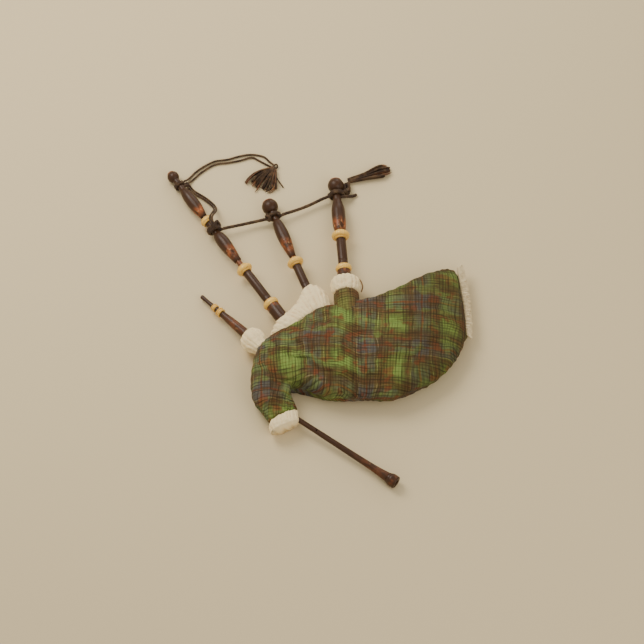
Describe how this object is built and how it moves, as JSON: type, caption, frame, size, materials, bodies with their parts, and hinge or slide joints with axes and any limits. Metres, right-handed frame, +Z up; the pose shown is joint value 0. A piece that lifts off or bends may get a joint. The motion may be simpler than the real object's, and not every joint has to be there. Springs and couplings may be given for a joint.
{
  "type": "bagpipes",
  "caption": "Highland bagpipes lying flat: cloth-covered bag with turned wooden drones, blowpipe and chanter joined by hemped, turning and sliding joints, tied together with tasselled cords.",
  "frame": {"origin": "on the surface that the pipes lie on, under the middle of the instrument's box without its free cords", "axes": "+Z up; +Y along the drones, from the bag towards their bells; +X towards the back of the bag"},
  "size_m": [0.8748, 1.086, 0.104],
  "materials": {
    "blackwood": "turned and polished dark hardwood",
    "ring_cap_wood": "polished reddish hardwood",
    "mount_ivory": "polished imitation ivory, yellowed",
    "tartan_cloth": "woven tartan cloth",
    "white_cloth": "gathered white cloth",
    "hide": "seasoned hide",
    "cane": "dry cane",
    "waxed_thread": "waxed thread and ribbon",
    "dark_cord": "twisted dark brown cord"
  },
  "bodies": {
    "bag": {"bass_stock": "blackwood", "inner_tenor_stock": "blackwood", "outer_tenor_stock": "blackwood", "blowpipe_stock": "blackwood", "chanter_stock": "blackwood", "bass_stock_mount": "mount_ivory", "outer_tenor_stock_mount": "mount_ivory", "bag_cover": "tartan_cloth", "outer_tenor_sleeve": "tartan_cloth", "front_trim": "white_cloth", "neck_band": "white_cloth", "back_fringe": "white_cloth", "blowpipe_ruff": "white_cloth", "outer_tenor_ruff": "white_cloth", "hide_bag": "hide", "bass_binding": "waxed_thread", "inner_tenor_binding": "waxed_thread", "outer_tenor_binding": "waxed_thread", "blowpipe_binding": "waxed_thread", "chanter_binding": "waxed_thread", "outer_tenor_ruff_tie": "waxed_thread", "bass_middle_cord_wrap": "dark_cord", "bass_top_cord_wrap": "dark_cord", "inner_tenor_cord_wrap": "dark_cord", "outer_tenor_cord_wrap": "dark_cord", "drone_cord_west": "dark_cord", "drone_cord_east": "dark_cord", "drone_cord_tail": "dark_cord", "east_tassel_cord": "dark_cord", "tassel_cord_upper": "dark_cord", "tassel_cord_lower": "dark_cord", "bass_side_cord": "dark_cord", "west_tassel_knot": "dark_cord", "west_tassel": "dark_cord", "east_tassel": "dark_cord"},
    "bass_lower": {"bass_lower": "blackwood", "bass_mount": "mount_ivory", "bass_reed": "cane"},
    "bass_middle": {"bass_middle": "blackwood", "bass_middle_mount": "mount_ivory"},
    "bass_top": {"bass_top": "blackwood", "bass_ring_cap": "ring_cap_wood"},
    "inner_tenor_lower": {"inner_tenor_lower": "blackwood", "inner_tenor_mount": "mount_ivory", "inner_tenor_reed": "cane"},
    "inner_tenor_top": {"inner_tenor_top": "blackwood", "inner_tenor_ring_cap": "ring_cap_wood"},
    "outer_tenor_lower": {"outer_tenor_lower": "blackwood", "outer_tenor_mount": "mount_ivory", "outer_tenor_reed": "cane"},
    "outer_tenor_top": {"outer_tenor_top": "blackwood", "outer_tenor_ring_cap": "ring_cap_wood"},
    "blowpipe": {"blowpipe": "blackwood", "blowpipe_mount": "mount_ivory"},
    "mouthpiece": {"mouthpiece": "blackwood", "mouthpiece_mount": "mount_ivory"},
    "valve_flap": {"valve_flap": "hide"},
    "chanter": {"chanter": "blackwood", "chanter_sole": "blackwood", "chanter_reed": "cane"}
  },
  "joints": [
    {"name": "bass_turn", "type": "hinge", "parent": "bag", "child": "bass_lower", "pos_m": [-0.1382, 0.065, 0.044], "axis": [-0.5509, 0.833, -0.0507], "continuous": true},
    {"name": "bass_middle_slide", "type": "slide", "parent": "bass_lower", "child": "bass_middle", "axis": [-0.5509, 0.833, -0.0507], "range_m": [-0.006, 0.006]},
    {"name": "bass_top_slide", "type": "slide", "parent": "bass_middle", "child": "bass_top", "axis": [-0.5509, 0.833, -0.0507], "range_m": [-0.005, 0.005]},
    {"name": "inner_tenor_turn", "type": "hinge", "parent": "bag", "child": "inner_tenor_lower", "pos_m": [-0.0373, 0.1188, 0.045], "axis": [-0.3577, 0.931, -0.0726], "continuous": true},
    {"name": "inner_tenor_slide", "type": "slide", "parent": "inner_tenor_lower", "child": "inner_tenor_top", "axis": [-0.3577, 0.931, -0.0726], "range_m": [-0.008, 0.01]},
    {"name": "outer_tenor_turn", "type": "hinge", "parent": "bag", "child": "outer_tenor_lower", "pos_m": [0.069, 0.1782, 0.045], "axis": [-0.0786, 0.9941, -0.075], "continuous": true},
    {"name": "outer_tenor_slide", "type": "slide", "parent": "outer_tenor_lower", "child": "outer_tenor_top", "axis": [-0.0786, 0.9941, -0.075], "range_m": [0, 0.014]},
    {"name": "blowpipe_turn", "type": "hinge", "parent": "bag", "child": "blowpipe", "pos_m": [-0.1895, -0.05, 0.042], "axis": [-0.6796, 0.7201, -0.1397], "continuous": true},
    {"name": "mouthpiece_turn", "type": "hinge", "parent": "blowpipe", "child": "mouthpiece", "pos_m": [-0.29824, 0.06522, 0.01964], "axis": [-0.6796, 0.7201, -0.1397], "continuous": true},
    {"name": "valve_flap_hinge", "type": "hinge", "parent": "blowpipe", "child": "valve_flap", "pos_m": [-0.15402, -0.09984, 0.05055], "axis": [0.0959, -0.1016, -0.9902], "range_deg": [0, 45], "stiffness_Nm_per_rad": 0.0005},
    {"name": "chanter_turn", "type": "hinge", "parent": "bag", "child": "chanter", "pos_m": [-0.0513, -0.3066, 0.034], "axis": [0.8194, -0.5717, -0.0426], "continuous": true}
  ]
}
